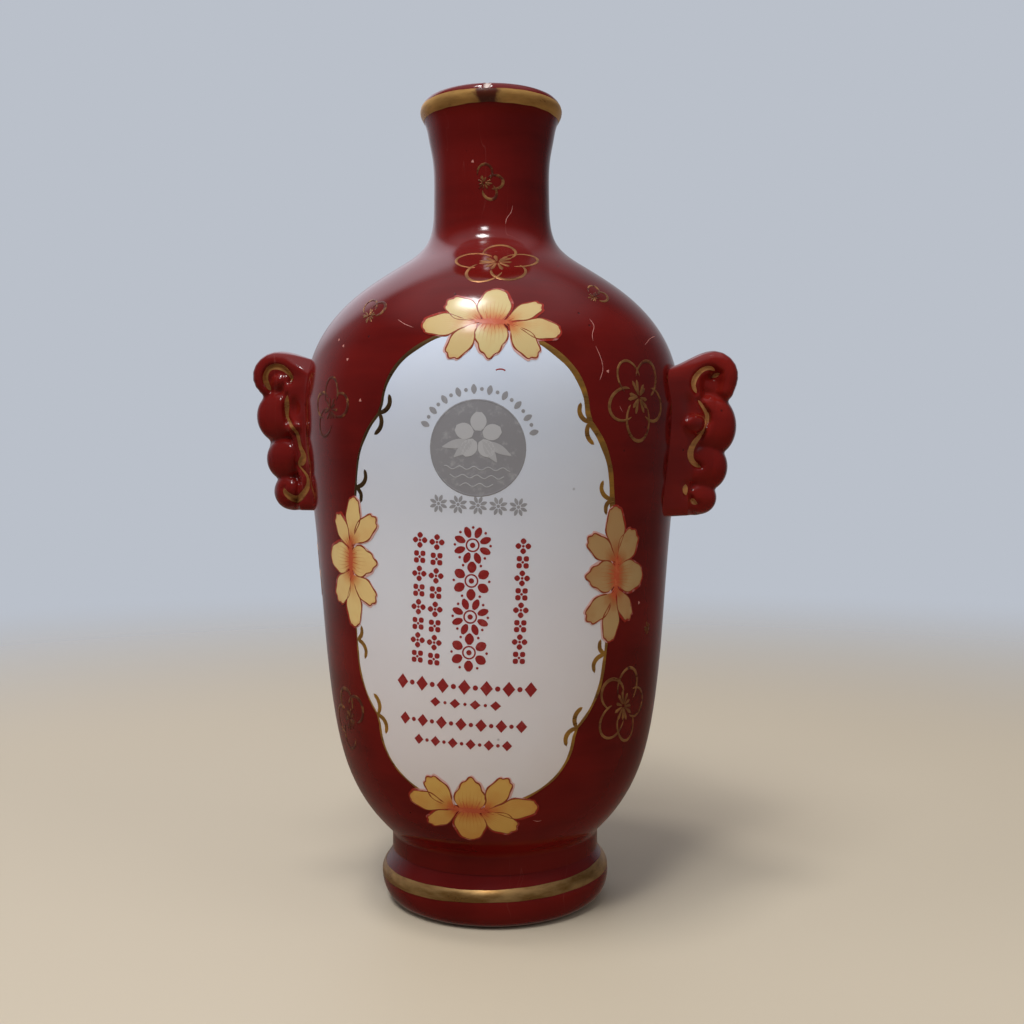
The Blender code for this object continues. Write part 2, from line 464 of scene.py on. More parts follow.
def gilding(name, lit=(214, 164, 92), dull=(158, 114, 60), worn=(78, 30, 16), wear=0.5, metal=0.6, fade=0.1):
    """Brushed-on gold, thin in places. The mark's X adds wear and its Y darkens it: tarnish on the bands, and a painted
    dark reflection on the panel border's upper left.
    """
    paint = Paint(name)
    brush = paint.noise(260, detail=4, rough=0.6, stretch=(0.5, 0.5, 2.0))
    patch = paint.noise(420, detail=4, rough=0.65)
    gold = paint.mix(paint.range(brush, 0.35, 0.68), colour(*dull), colour(*lit))
    # Mark Y darkens the gold: tarnish on the bands, and a painted dark reflection on the panel border.
    tarnish_and_dark_reflection = paint.sum("MULTIPLY", paint.mark(axis="Y"), 1.0, clamp=True)
    gold = paint.mix(paint.sum("MULTIPLY", tarnish_and_dark_reflection, 0.85), gold, colour(50, 42, 34))
    gone = paint.sum("ADD", patch, paint.sum("MULTIPLY", paint.mark(axis="X"), 0.5))
    gone = paint.range(gone, 1 - wear + 0.12, 1 - wear + 0.12 + fade)
    paint.feed(
        Base_Color=paint.mix(gone, gold, colour(*worn)),
        Metallic=paint.sum("SUBTRACT", metal, paint.sum("MULTIPLY", gone, metal)),
        Roughness=paint.range(brush, 0.3, 0.7, 0.26, 0.42),
        Normal=paint.bump(brush, 0.00003, 0.6),
    )
    return paint.material


def petal_paint(name, pale, amber):
    """Pale petals with a red-orange throat. The mark holds the share along a petal, across it, and its own tint."""
    paint = Paint(name, roughness=0.2)
    along, across, own = (paint.mark(axis=a) for a in "XYZ")
    grain = paint.noise(900, detail=2)
    along = paint.sum("ADD", along, paint.sum("MULTIPLY", paint.sum("SUBTRACT", grain, 0.5), 0.14))
    petal = paint.mix(paint.range(along, -0.02, 0.26), colour(190, 82, 48), colour(*amber))
    petal = paint.mix(paint.range(along, 0.12, 0.46), petal, colour(*pale))
    petal = paint.mix(paint.range(along, 0.88, 1.0, 0.0, 0.4), petal, colour(*amber))
    petal = paint.mix(paint.range(paint.noise(260, detail=3), 0.45, 0.75, 0.0, 0.35), petal, colour(*amber))
    vein = paint.sum("ABSOLUTE", paint.sum("SINE", paint.sum("MULTIPLY", across, 13.0)))
    vein = paint.sum("MULTIPLY", paint.range(vein, 0.0, 0.45, 1.0, 0.0), paint.range(along, 0.25, 0.7, 0.6, 0.0))
    petal = paint.mix(vein, petal, colour(178, 96, 50))
    petal = paint.mix(paint.sum("MULTIPLY", own, 0.3), petal, colour(*amber))
    paint.feed(Base_Color=petal, Normal=paint.bump(grain, 0.00002, 0.5))
    return paint.material


def print_paint(name, ink, thin, roughness=0.3, break_up=0.0):
    """Flat printed ink with a fine mottle. The mark's Z turns it to its thin tone."""
    paint = Paint(name, roughness=roughness)
    mottle = paint.noise(700, detail=3, rough=0.6)
    base = paint.mix(paint.mark(axis="Z"), colour(*ink), colour(*thin))
    base = paint.mix(paint.range(mottle, 0.5, 0.8, 0.0, 0.5 + break_up), base, colour(*thin))
    paint.feed(Base_Color=base, Normal=paint.bump(mottle, 0.00001, 0.4))
    return paint.material


def dress(piece, material, body="root"):
    piece.data.materials.append(material)
    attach(piece, body)
    return piece


# ---------------------------------------------------------------- porcelain


def make_body(wall, section, low, high):
    """The turned bottle, its outer face smoothed through the CAD outline."""
    order = section if low < high else section[::-1]
    first, last = sorted((low, high))
    if low > high:
        first, last = len(section) - 1 - low, len(section) - 1 - high
    whole = np.concatenate([order[:first], wall.profile, order[last + 1 :]])
    made = turned("porcelain_body", whole)
    points = np.array([v.co[:] for v in made.data.vertices])
    reach = np.hypot(points[:, 0], points[:, 1])
    inside = (wall.radius(points[:, 2]) - reach > 0.7 * MM) & (points[:, 2] < 0.1553)
    chip = chip_depth(points)
    points[:, 1] += chip * 0.5
    points[:, 2] -= chip
    made.data.vertices.foreach_set("co", points.ravel())
    bare = np.maximum(inside, np.clip(chip / (0.12 * MM), 0, 1))
    made.data.attributes.new("bare", "FLOAT", "POINT").data.foreach_set("value", bare.astype(np.float32))
    return made


def chip_depth(points):
    """How far the nick in the front of the lip is cut into each point."""
    away = np.hypot((points[:, 0] - 0.0004) / (0.65 * MM), (points[:, 2] - 0.1553) / (0.7 * MM))
    front = points[:, 1] < -0.0105
    rough = 1 + 0.25 * np.sin(points[:, 0] * 9000) + 0.2 * np.sin(points[:, 1] * 13000)
    return np.where(front, 0.55 * MM * np.clip(1 - away**2, 0, 1) * rough, 0)


def make_foot():
    section = section_of("foot_ring")
    loop = np.concatenate([section, section[:1]])
    fine = [loop[0]]
    for a, b in zip(loop[:-1], loop[1:]):
        fine += [a + (b - a) * t for t in (0.5, 1.0)]
    return turned("foot_ring_glaze", smooth_corners(np.array(fine[:-1])))


def make_foot_seam(wall):
    """Glaze pooled in the joint between the bottle and its foot, as a hollow fillet that dips under both."""
    height = np.linspace(10.0, 16.4, 33) * MM
    face = -smooth_min(-wall.radius(height), -19.93 * MM, 2.2 * MM) - 0.10 * MM
    buried = [(21.6, 16.4), (20.2, 15.0), (19.0, 13.0), (19.0, 10.0)]
    return turned("foot_seam_glaze", np.concatenate([np.stack([face, height], axis=1), np.array(buried) * MM]), corner=60)


def smooth_corners(loop, rounds=2):
    """A closed outline with its facets eased into curves."""
    for _ in range(rounds):
        loop = 0.5 * loop + 0.25 * (np.roll(loop, 1, 0) + np.roll(loop, -1, 0))
    return loop


# ---------------------------------------------------------------- lugs, in millimetres until they are meshed

LUG_STEP = 0.28
LUG_LOW = np.array([29.0, -18.2, 73.5])
LUG_HIGH = np.array([49.5, 18.2, 109.5])
ROLL = {
    1: [(33.0, 99.6, 2.6), (37.6, 102.0, 2.6), (40.7, 103.7, 2.6), (43.3, 104.3, 2.7), (45.0, 102.8, 2.75), (45.4, 100.5, 2.15), (45.2, 99.2, 1.8)],
    -1: [(33.0, 102.6, 2.6), (36.7, 103.8, 2.6), (39.9, 104.9, 2.6), (43.2, 105.1, 2.7), (45.0, 103.2, 2.7), (45.0, 101.5, 2.2), (44.2, 100.4, 1.8)],
}
LOBES = {
    1: [(42.5, 92.8, 5.0, 6.2, 8), (41.3, 84.6, 4.55, 4.9, 0), (40.4, 78.6, 3.3, 3.3, 0)],
    -1: [(42.2, 95.0, 4.9, 5.4, 0), (40.9, 86.6, 4.25, 4.6, 0), (40.3, 80.1, 3.35, 3.7, 0)],
}
LOBE_DEPTH = 6.6
LUG_GILT = {1: ((222, 160, 98), (176, 120, 74)), -1: ((176, 122, 66), (134, 88, 48))}
# Pale and deep enamel tones of each lug. Painted light: the right lug's tones are lighter and more orange than the left
# lug's and the body's, for painted light and warm reflection on that lug.
LUG_ENAMEL = {1: ((126, 28, 21), (102, 19, 15)), -1: ((106, 20, 16), (86, 13, 11))}
WEB_LOW = {1: 75.2, -1: 76.4}
WEB_TOP = 101.8
EYE = {1: (42.4, 0, 100.4, 3.0, 3.5, 2.4), -1: (41.9, 0, 101.7, 2.2, 5.2, 2.3)}
HOLLOWS = {1: [(37.8, 5.2, 96.2, 1.3, 1.8, 1.8), (42.2, 5.9, 101.0, 2.2, 2.6, 1.5)], -1: [(38.2, 5.2, 96.5, 1.25, 2.1, 2.0)]}
BEAD = {1: (39.2, 4.1, 92.6, 2.3, 2.2, 1.8), -1: (38.4, 3.7, 92.6, 1.5, 1.6, 1.1)}
FACE = 5.4
# How much deeper each lug's face stands as it nears a wall of ROOT_RADIUS: (across, extra depth).
ROOT_FLARE = {
    1: [(29.0, 15.0), (32.6, 10.8), (34.0, 9.1), (35.5, 7.2), (37.0, 5.3), (38.5, 3.5), (40.0, 1.9), (41.5, 0.8),
        (43.2, 0.0)],
    -1: [(29.0, 12.0), (33.0, 7.3), (35.0, 4.6), (36.0, 3.6), (38.0, 2.55), (40.0, 1.6), (42.0, 0.7), (44.0, 0.0)],
}
ROOT_RADIUS = 36.5
ROOT_BURIED = 2.0
LUG_GOLD = {
    1: [
        [(39.3, 98.6, 0.7), (38.7, 100.0, 0.9), (39.0, 101.2, 1.0), (39.9, 102.4, 0.9), (41.2, 103.3, 0.8),
         (42.3, 103.4, 0.7), (43.1, 103.0, 0.5)],
        [(42.5, 101.8, 0.5), (43.3, 102.1, 0.8), (44.0, 102.5, 0.5)],
        [(39.7, 97.2, 0.4), (40.5, 96.1, 0.6), (41.4, 94.7, 0.8), (41.5, 93.4, 0.7), (41.1, 92.2, 0.5),
         (40.5, 91.0, 0.6), (39.4, 89.7, 0.9), (38.4, 88.2, 1.1), (38.1, 86.9, 1.2), (38.4, 85.8, 1.1),
         (39.2, 85.0, 0.9), (40.2, 84.5, 0.5)],
        [(37.2, 81.2, 0.8), (37.1, 80.1, 1.0), (37.3, 79.2, 0.6)],
        [(38.4, 78.6, 0.8), (38.9, 77.8, 0.9), (39.6, 77.5, 0.6)],
    ],
    -1: [
        [(43.5, 100, 0.7), (44.2, 101.1, 0.9), (44.5, 102.4, 1), (44.2, 103.5, 0.9), (43.4, 104.4, 1),
         (42.2, 104.6, 1.1), (40.9, 104.3, 1.1), (39.6, 103.3, 0.9), (39, 102.1, 0.6), (39.3, 101.4, 0.3)],
        [(39.8, 98.9, 0.4), (39.9, 97.7, 0.9), (39.9, 96.2, 0.9), (39.8, 94.6, 0.6), (39.1, 93.4, 0.6),
         (37.9, 91.9, 0.7), (37.3, 90.1, 0.7), (36.8, 88.3, 0.8), (36.3, 87.1, 1.2), (36.7, 85.9, 1.6),
         (37.3, 85.2, 0.5), (36.5, 84.2, 0.4), (35.5, 82.8, 0.6), (35.5, 81.2, 1), (36.5, 79.7, 1.2),
         (38.1, 78.6, 1.4), (39.3, 79.1, 1.2), (40.3, 80, 0.9), (40.6, 80.8, 0.6)],
    ],
}
# Where the lobes rise from the web: (across, up), top to bottom.
STEP = {
    1: [(39.8, 97.2), (41.6, 94.7), (41.7, 93.4), (40.6, 91.0), (38.7, 88.2), (38.4, 86.9), (39.4, 85.0), (37.5, 81.2), (37.5, 79.2)],
    -1: [(40.1, 98.9), (40.2, 96.2), (39.5, 93.4), (38.1, 90.1), (37.2, 87.1), (37.5, 85.9), (37.3, 84.2), (36.4, 82.0), (37.2, 79.7)],
}
LUG_GROOVE_WIDTH = 0.55
LUG_GROOVE_DEPTH = 0.45


def smooth_min(a, b, reach):
    share = np.clip(0.5 + 0.5 * (b - a) / reach, 0, 1)
    return b + (a - b) * share - reach * share * (1 - share)


def ellipsoid(x, y, z, centre, radii):
    a, b, c = (x - centre[0]) / radii[0], (y - centre[1]) / radii[1], (z - centre[2]) / radii[2]
    near = np.sqrt(a * a + b * b + c * c)
    slope = np.sqrt((a / radii[0]) ** 2 + (b / radii[1]) ** 2 + (c / radii[2]) ** 2)
    return near * (near - 1) / np.maximum(slope, 1e-9)


def path_distance(x, z, path):
    """Distance in the front view to a line of points, and how far along it the nearest place is."""
    best = np.full(np.broadcast(x, z).shape, 1e9)
    where = np.zeros_like(best)
    for i in range(len(path) - 1):
        a, b = path[i][:2], path[i + 1][:2]
        dx, dz = b[0] - a[0], b[1] - a[1]
        t = np.clip(((x - a[0]) * dx + (z - a[1]) * dz) / (dx * dx + dz * dz), 0, 1)
        away = np.hypot(x - a[0] - t * dx, z - a[1] - t * dz)
        where = np.where(away < best, i + t, where)
        best = np.minimum(best, away)
    return best, where


def lug_field(x, y, z, side):
    """Signed distance of a lug whose |x| is x: the rolled top, the web, lobes that step up from it, and cut lines."""
    wall = body_wall.radius(z * MM) / MM
    flare = spline(ROOT_FLARE[side], 0.3)
    depth = abs(y) - np.interp(x + ROOT_RADIUS - wall, flare[:, 0], flare[:, 1])
    roll = spline(ROLL[side], 0.8)
    away, where = path_distance(x, z, roll)
    radius = np.interp(where, np.arange(len(roll)), roll[:, 2])
    thick = 4.5 + 1.2 * np.clip((x - 36) / 8, 0, 1)
    field = (np.hypot(away / radius, depth / thick) - 1) * radius * 0.9
    edge = np.array(STEP[side])[::-1, ::-1]
    inside = np.interp(z, edge[:, 0], edge[:, 1]) - x
    reach = 3.7 + 1.7 * np.clip((z - 80) / 8, 0, 1)
    plate = 2.4 - 1.5 * np.clip(-inside - 0.2, 0, 1)
    middle, tall = (WEB_TOP + WEB_LOW[side]) / 2, (WEB_TOP - WEB_LOW[side]) / 2 - 1.8
    q = np.stack(np.broadcast_arrays(abs(x - 31.8 - reach) - reach, depth - plate, abs(z - middle) - tall))
    web = np.sqrt((np.clip(q, 0, None) ** 2).sum(0)) + np.minimum(q.max(0), 0) - 1.8
    field = smooth_min(field, web, 2.6)
    for across, up, half, tall, lean in LOBES[side]:
        c, s = math.cos(math.radians(lean)), math.sin(math.radians(lean))
        a, b = (x - across) * c + (z - up) * s, (z - up) * c - (x - across) * s
        lobe = ellipsoid(a, depth, b, (0, 0, 0), (half, LOBE_DEPTH, tall))
        field = smooth_min(field, -smooth_min(-lobe, -inside, 1.2), 0.6)
    field = smooth_min(field, ellipsoid(x, depth, z, EYE[side][:3], EYE[side][3:]), 0.6)
    field = -smooth_min(-field, FACE - depth, 2.6)
    if side < 0:
        bevel = depth * 0.755 + (z - 104.9 - 0.70 * (x - 39.9)) * 0.656 - 3.86
        field = -smooth_min(-field, -bevel, 0.15)
    for hollow in HOLLOWS[side]:
        field = -smooth_min(-field, ellipsoid(x, depth, z, hollow[:3], hollow[3:]), 1.2)
    field = smooth_min(field, ellipsoid(x, depth, z, BEAD[side][:3], BEAD[side][3:]), 1.0)
    for line in LUG_GOLD[side]:
        groove, _ = path_distance(x, z, spline([p[:2] for p in line], 0.6))
        field = field + LUG_GROOVE_DEPTH * np.exp(-((groove / LUG_GROOVE_WIDTH) ** 2))
    return np.maximum(field, wall - ROOT_BURIED - np.hypot(x, y))


def surface_net(field, low, step):
    """Closed mesh of the field's zero level, with one point in each cell that it crosses."""
    cells = np.array(field.shape) - 1
    total = np.zeros((*cells, 3))
    count = np.zeros(cells)
    grid = np.stack(np.meshgrid(*(np.arange(n) for n in cells), indexing="ij"), axis=-1).astype(float)
    crossings = []
    for axis in range(3):
        others = [a for a in range(3) if a != axis]
        near = np.take(field, range(cells[axis]), axis)
        far = np.take(field, range(1, cells[axis] + 1), axis)
        crossed = (near < 0) != (far < 0)
        share = np.where(crossed, near / np.where(crossed, near - far, 1), 0)
        crossings.append((crossed, near < 0))
        for shift in np.ndindex(2, 2):
            pick = [slice(None)] * 3
            for other, by in zip(others, shift):
                pick[other] = slice(by, by + cells[other])
            hit, part = crossed[tuple(pick)], share[tuple(pick)]
            point = grid.copy()
            point[..., axis] += part
            for other, by in zip(others, shift):
                point[..., other] += by
            total += point * hit[..., None]
            count += hit
    used = count > 0
    index = np.full(cells, -1)
    index[used] = np.arange(used.sum())
    points = low + total[used] / count[used][:, None] * step
    faces = []
    for axis in range(3):
        crossed, leaving = crossings[axis]
        b, c = (axis + 1) % 3, (axis + 2) % 3
        where = np.argwhere(crossed)
        where = where[(where[:, b] > 0) & (where[:, b] < cells[b]) & (where[:, c] > 0) & (where[:, c] < cells[c])]
        corners = []
        for db, dc in ((-1, -1), (0, -1), (0, 0), (-1, 0)):
            at = where.copy()
            at[:, b] += db
            at[:, c] += dc
            corners.append(index[tuple(at.T)])
        quad = np.stack(corners, axis=1)
        out = leaving[tuple(where.T)]
        faces.append(np.where(out[:, None], quad, quad[:, ::-1]))
    return points, np.concatenate(faces)


def make_lug(name, side):
    axes = [np.arange(a, b, LUG_STEP) for a, b in zip(LUG_LOW, LUG_HIGH)]
    x, y, z = np.meshgrid(*axes, indexing="ij")
    points, faces = surface_net(lug_field(x, y, z, side), LUG_LOW, LUG_STEP)
    points[:, 0] *= side
    made = mesh_object(name, points * MM, faces[:, ::-1] if side < 0 else faces, {"bare": 0 * points[:, 0]}, corner=80)
    return made


def lug_face(side, front):
    """A place function for films on a lug: u is |x| and v is z, and the face is found along Y."""

    def place(u, v, lift):
        across, up = u / MM, v / MM
        deep = np.linspace(14.0, 0.0, 281)
        field = lug_field(across[..., None], deep, up[..., None], side)
        first = np.argmax(field < 0, axis=-1)
        first = np.clip(first, 1, None)
        before = np.take_along_axis(field, (first - 1)[..., None], -1)[..., 0]
        after = np.take_along_axis(field, first[..., None], -1)[..., 0]
        share = np.clip(before / (before - after + 1e-12), 0, 1)
        y = deep[first - 1] + share * (deep[first] - deep[first - 1])
        h = 0.05
        slope = np.stack(
            [
                lug_field(across + h, y, up, side) - lug_field(across - h, y, up, side),
                lug_field(across, y + h, up, side) - lug_field(across, y - h, up, side),
                lug_field(across, y, up + h, side) - lug_field(across, y, up - h, side),
            ],
            axis=-1,
        )
        slope /= np.linalg.norm(slope, axis=-1)[..., None] + 1e-12
        point = np.stack([across, y, up], axis=-1) * MM + slope * lift[..., None]
        point[..., 0] *= side
        point[..., 1] *= -1 if front else 1
        return point

    return place


def make_lug_gold(name, side):
    """Gold run along the lug's cut lines, front and back, swelling where the brush pressed."""
    faces = []
    for front in (True, False):
        film = Film(lug_face(side, front))
        for line in LUG_GOLD[side]:
            path = spline(line, 0.35) * MM
            film.ribbon(path[:, :2], path[:, 2], 0.09 * MM, mark=(0.1, 0, 0), taper=0.5 * MM, sink=0.15 * MM)
        if (side > 0) != front:
            film.faces = [f[:, ::-1] for f in film.faces]
        faces.append(film)
    both = faces[0]
    both.faces += [f + both.count for f in faces[1].faces]
    both.points += faces[1].points
    both.marks += faces[1].marks
    return both.build(name)


# ---------------------------------------------------------------- the printed panel


def on_panel(x, y):
    """(u, height) on the belly of a place on the tilted panel, from its centre. All in metres."""
    c, s = math.cos(PANEL_TILT), math.sin(PANEL_TILT)
    return PANEL_CENTRE[0] + x * c + y * s, PANEL_CENTRE[1] - x * s + y * c


def panel_outline():
    """The panel's closed outline on its own axes: four mirrored quarters, each with a step in it."""
    top = spline(PANEL_TOP, 0.6)
    side = spline(PANEL_SIDE, 0.6)
    quarter = np.concatenate([top, side]) * MM
    left_top = quarter[1:-1][::-1] * (-1, 1)
    right_low = quarter[1:-1][::-1] * (1, -1)
    left_low = quarter * (-1, -1)
    return np.concatenate([quarter, right_low, left_low, left_top])


def panel_reach(outline, angle):
    """Distance from the panel's centre to its outline at an angle."""
    turn = np.unwrap(np.arctan2(outline[:, 1], outline[:, 0]))
    reach = np.hypot(outline[:, 0], outline[:, 1])
    order = np.argsort(turn % TURN)
    turn, reach = (turn % TURN)[order], reach[order]
    return np.interp(angle % TURN, np.r_[turn[-1] - TURN, turn, turn[0] + TURN], np.r_[reach[-1], reach, reach[0]])


def make_panel(wall, outline):
    angle, share = disc_grid(PANEL_GRID)
    reach = share * panel_reach(outline, angle)
    u, height = on_panel(reach * np.cos(angle), reach * np.sin(angle))
    film = Film(wall.at)
    film.add(u, wall.up(height), PANEL_LIFT)
    return film.build("front_panel")


UNDER_FLOWER = 6.5 * MM
TENDRILS = [
    [(16.9, 29.9), (16.7, 28.4), (17.5, 27.2), (18.8, 26.7)],
    [(18.8, 26.7), (18.3, 25.5), (18.6, 24.1), (19.8, 23.0)],
    [(22.1, 16.9), (21.8, 15.4), (22.7, 14.2), (24.2, 13.7)],
    [(24.2, 13.7), (23.0, 12.6), (23.1, 11.0)],
]


def make_border(wall, outline):
    """Gold round the panel, thin at the upper left and heavy at the right, with curls at its steps. The upper left is
    also darkened: a painted dark reflection in the gold.
    """
    film = Film(wall.at)
    u, height = on_panel(outline[:, 0], outline[:, 1])
    angle = np.arctan2(outline[:, 1], outline[:, 0])
    heavy = 0.5 + 0.5 * np.cos(angle - math.radians(40))
    width = (0.38 + 0.75 * heavy**2 + 0.08 * np.sin(angle * 17) + 0.06 * np.sin(angle * 41)) * MM
    # Painted dark reflection: the gold is darkened towards the upper left, through the mark's Y.
    dark = np.clip(np.cos(angle - math.radians(135)) * 1.5 - 0.35, 0, 1)
    mark = np.stack([0.15 * dark, dark, 0 * dark], axis=-1)[:, None, :]
    centres = np.array([centre for centre, _, _ in FLOWERS.values()]) * MM
    nearest = np.hypot(outline[:, :1] - centres[:, 0], outline[:, 1:] - centres[:, 1]).min(axis=1)
    lift = np.where(nearest < UNDER_FLOWER, -0.5, 1.0) * GOLD_LIFT
    film.ribbon(np.stack([u, wall.up(height)], axis=1), width, lift[:, None], mark=mark, ring=True)
    for right in (1, -1):
        for up in (1, -1):
            for curl in TENDRILS:
                path = spline(curl, 0.3) * MM * (right, up)
                u, height = on_panel(path[:, 0], path[:, 1])
                swell = np.sin(np.linspace(0.25, 1, len(path)) * math.pi * 0.8)
                # The upper-left curls get the full painted dark reflection.
                tone = 1.0 if (right, up) == (-1, 1) else 0.0
                film.ribbon(
                    np.stack([u, wall.up(height)], axis=1), (0.34 + 0.56 * swell) * MM, GOLD_LIFT, mark=(0, tone, 0), taper=0.5 * MM
                )
    return film.build("panel_border")


# Petal shapes: half width at shares of the length, and the tip's reach at shares of the width.
HEART = dict(widths=[0.50, 0.86, 1.0, 0.97, 0.74], tip=[1.0, 0.975, 0.90, 0.85, 0.83, 0.76, 0.60])
ROUND = dict(widths=[0.45, 0.80, 0.98, 1.0, 0.84], tip=[1.0, 0.99, 0.965, 0.93, 0.90, 0.80, 0.64])
END = dict(widths=[0.10, 0.36, 0.74, 1.0, 0.84], tip=[1.0, 0.995, 0.975, 0.95, 0.94, 0.87, 0.74])
SLANT = dict(widths=[0.10, 0.44, 0.82, 1.0, 0.86], tip=[1.0, 0.985, 0.945, 0.92, 0.925, 0.87, 0.70])
PETALS = [
    (END, (3.2, -0.2), -8, 8.5, 2.0),
    (END, (-3.2, -0.2), 187, 9.2, 2.25),
    (SLANT, (2.4, 0.4), 36, 6.8, 1.75),
    (SLANT, (-2.2, 0.4), 146, 7.4, 2.4),
    (SLANT, (3.0, -0.4), -49, 7.7, 2.0),
    (SLANT, (-2.8, -0.4), 238, 7.5, 2.0),
    (ROUND, (0.0, 0.2), 90, 7.2, 2.85),
    (HEART, (0.0, -0.2), 270, 6.7, 2.8),
]
FLOWERS = {
    "top": ((0.7, 42.8), 0.0, 7),
    "bottom": ((-0.2, -42.2), 180.0, 11),
    "left": ((-25.9, 0.6), 90.0, 17),
    "right": ((26.1, 0.2), 270.0, 23),
}
# Pale and amber petal colours of each flower. Partly their own colours and partly painted light: the top flower is
# paler for a painted sheen, and the right flower darker and duller partly for painted shade.
PETAL_TONES = {
    "top": ((204, 183, 130), (198, 148, 92)),
    "bottom": ((206, 164, 86), (194, 128, 62)),
    "left": ((226, 198, 134), (208, 152, 92)),
    "right": ((178, 146, 100), (164, 108, 66)),
}
RIM_FROM = 4


def petal_grid(kind, length, half, grow=0.0, rows=17, columns=17):
    """Share along, share across and (x, y) of a petal that points along +X, grown by a margin all round."""
    along, across = np.meshgrid(np.linspace(0, 1, rows), np.linspace(-1, 1, columns), indexing="ij")
    shares = np.linspace(0, 1, 5)
    widths = spline(np.stack([shares, kind["widths"]], axis=1), 0.02)
    half = half * np.interp(along, widths[:, 0], widths[:, 1]) + grow
    tips = spline(np.stack([np.linspace(0, 1, 7), kind["tip"]], axis=1), 0.02)
    tip = np.interp(abs(across), tips[:, 0], tips[:, 1])
    x = along * (length * tip + grow)
    return along, across, x * MM, half * across * MM


def flower_place(wall, centre, turn):
    """Takes flower (x, y) to (u, v): the flower lies along the panel's edge, turned by some degrees."""
    u0, height = on_panel(centre[0] * MM, centre[1] * MM)
    v0 = wall.up(height)
    angle = math.radians(turn) - PANEL_TILT
    c, s = math.cos(angle), math.sin(angle)

    def place(x, y):
        return u0 + x * c - y * s, v0 + x * s + y * c

    return place


def petal_place(base, turn, stretch=1.0):
    angle = math.radians(turn)
    c, s = math.cos(angle), math.sin(angle)

    def place(x, y):
        x = x * stretch
        return base[0] * MM + x * c - y * s, base[1] * MM + x * s + y * c

    return place


def make_flower(name, wall, outline, centre, turn, seed):
    """Petals, their brown outlines with a printed blush round them, and a red throat, on three levels."""
    draw = np.random.default_rng(seed)
    lay = flower_place(wall, centre, turn)
    petals, lines, halo = Film(wall.at), Film(wall.at), Film(wall.at)
    for kind, base, angle, length, half in PETALS:
        petal = petal_place(base, angle + draw.uniform(-2, 2), draw.uniform(0.95, 1.03))
        along, across, x, y = petal_grid(kind, length, half)
        u, v = lay(*petal(x, y))
        own = np.full(u.shape, draw.uniform(0, 1))
        petals.add(u, v, PETAL_LIFT, np.stack([along, across, own], axis=-1))
        first, last = np.stack([x[RIM_FROM:, 0], y[RIM_FROM:, 0]], 1), np.stack([x[:RIM_FROM:-1, -1], y[:RIM_FROM:-1, -1]], 1)
        rim = np.concatenate([first, np.stack([x[-1, 1:-1], y[-1, 1:-1]], 1), last])
        rim = spline(rim, 0.25 * MM)
        u, v = lay(*petal(rim[:, 0], rim[:, 1]))
        thick = np.where(on_white(wall, outline, u, v), 0.34, 0.22) * (1 + 0.2 * np.sin(np.arange(len(u)) * 0.7))
        lines.ribbon(np.stack([u, v], 1), thick * MM, LINE_LIFT, taper=0.6 * MM)
        along, across, x, y = petal_grid(kind, length, half, grow=0.28)
        u, v = lay(*petal(x + 0.05 * MM, y - 0.12 * MM))
        halo.add(u, v, HALO_LIFT, np.stack([along, across, 1.0 * on_white(wall, outline, u, v)], axis=-1))
    throat = Film(wall.at)
    share, across = np.meshgrid(np.linspace(-1, 1, 25), np.linspace(-1, 1, 7), indexing="ij")
    half = 0.55 * (1 - 0.75 * share**2)
    u, v = lay(share * 3.2 * MM, across * half * MM)
    throat.add(u, v, LINE_LIFT * 0.95)
    for k in range(26):
        angle = k / 26 * TURN + draw.uniform(-0.06, 0.06)
        start = np.array([2.6 * math.cos(angle), 0.25 * math.sin(angle)])
        ray = np.array([math.cos(angle) * 0.9, math.sin(angle)]) * draw.uniform(1.1, 2.2)
        path = (start + ray * np.linspace(0, 1, 6)[:, None]) * MM
        u, v = lay(path[:, 0], path[:, 1])
        throat.ribbon(np.stack([u, v], 1), np.linspace(0.36, 0.05, 6) * MM, LINE_LIFT)
    return (
        petals.build(name + "_petals"),
        lines.build(name + "_outlines"),
        throat.build(name + "_throat"),
        halo.build(name + "_blush"),
    )


def on_white(wall, outline, u, v):
    """True where a place on the belly lies inside the white panel."""
    height = np.interp(v, wall.run, wall.profile[:, 1])
    a, b = u - PANEL_CENTRE[0], height - PANEL_CENTRE[1]
    c, s = math.cos(PANEL_TILT), math.sin(PANEL_TILT)
    x, y = a * c - b * s, a * s + b * c
    return np.hypot(x, y) < panel_reach(outline, np.arctan2(y, x))


